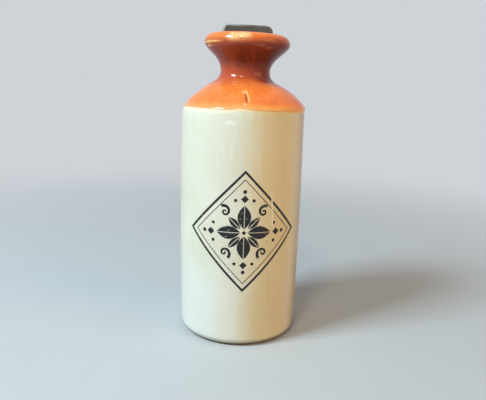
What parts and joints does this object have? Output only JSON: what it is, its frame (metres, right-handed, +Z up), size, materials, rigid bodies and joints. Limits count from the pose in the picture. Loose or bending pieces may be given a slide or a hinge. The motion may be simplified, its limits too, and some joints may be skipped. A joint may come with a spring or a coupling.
{
  "type": "stoneware hot water bottle",
  "caption": "Upright stoneware hot water bottle: cream barrel body, tan glazed shoulder, waisted neck and rolled lip, closed by a screw stopper with a finger grip.",
  "frame": {"origin": "middle of the foot ring, on the surface that the bottle stands on", "axes": "+Z up along the bottle's turned axis; the stopper's grip runs along X and the decorated front faces -Y"},
  "size_m": [0.093, 0.093, 0.2316],
  "materials": {
    "glazed_stoneware": "gloss",
    "washer_rubber": "matte",
    "hard_rubber": "satin"
  },
  "bodies": {
    "bottle": {"stoneware_bottle": "glazed_stoneware"},
    "washer": {"rubber_washer": "washer_rubber"},
    "stopper": {"screw_stopper": "hard_rubber"}
  },
  "joints": [
    {"name": "stopper_rise", "type": "slide", "parent": "bottle", "child": "washer", "axis": [0, 0, 1], "range_m": [0, 0.0361]},
    {"name": "stopper_turn", "type": "hinge", "parent": "washer", "child": "stopper", "pos_m": [0, 0, 0.215], "axis": [0, 0, 1], "range_deg": [0, 2160]}
  ],
  "couplings": [
    {"joint": "stopper_rise", "follows": "stopper_turn", "m_per_rad": 0.00095493}
  ]
}
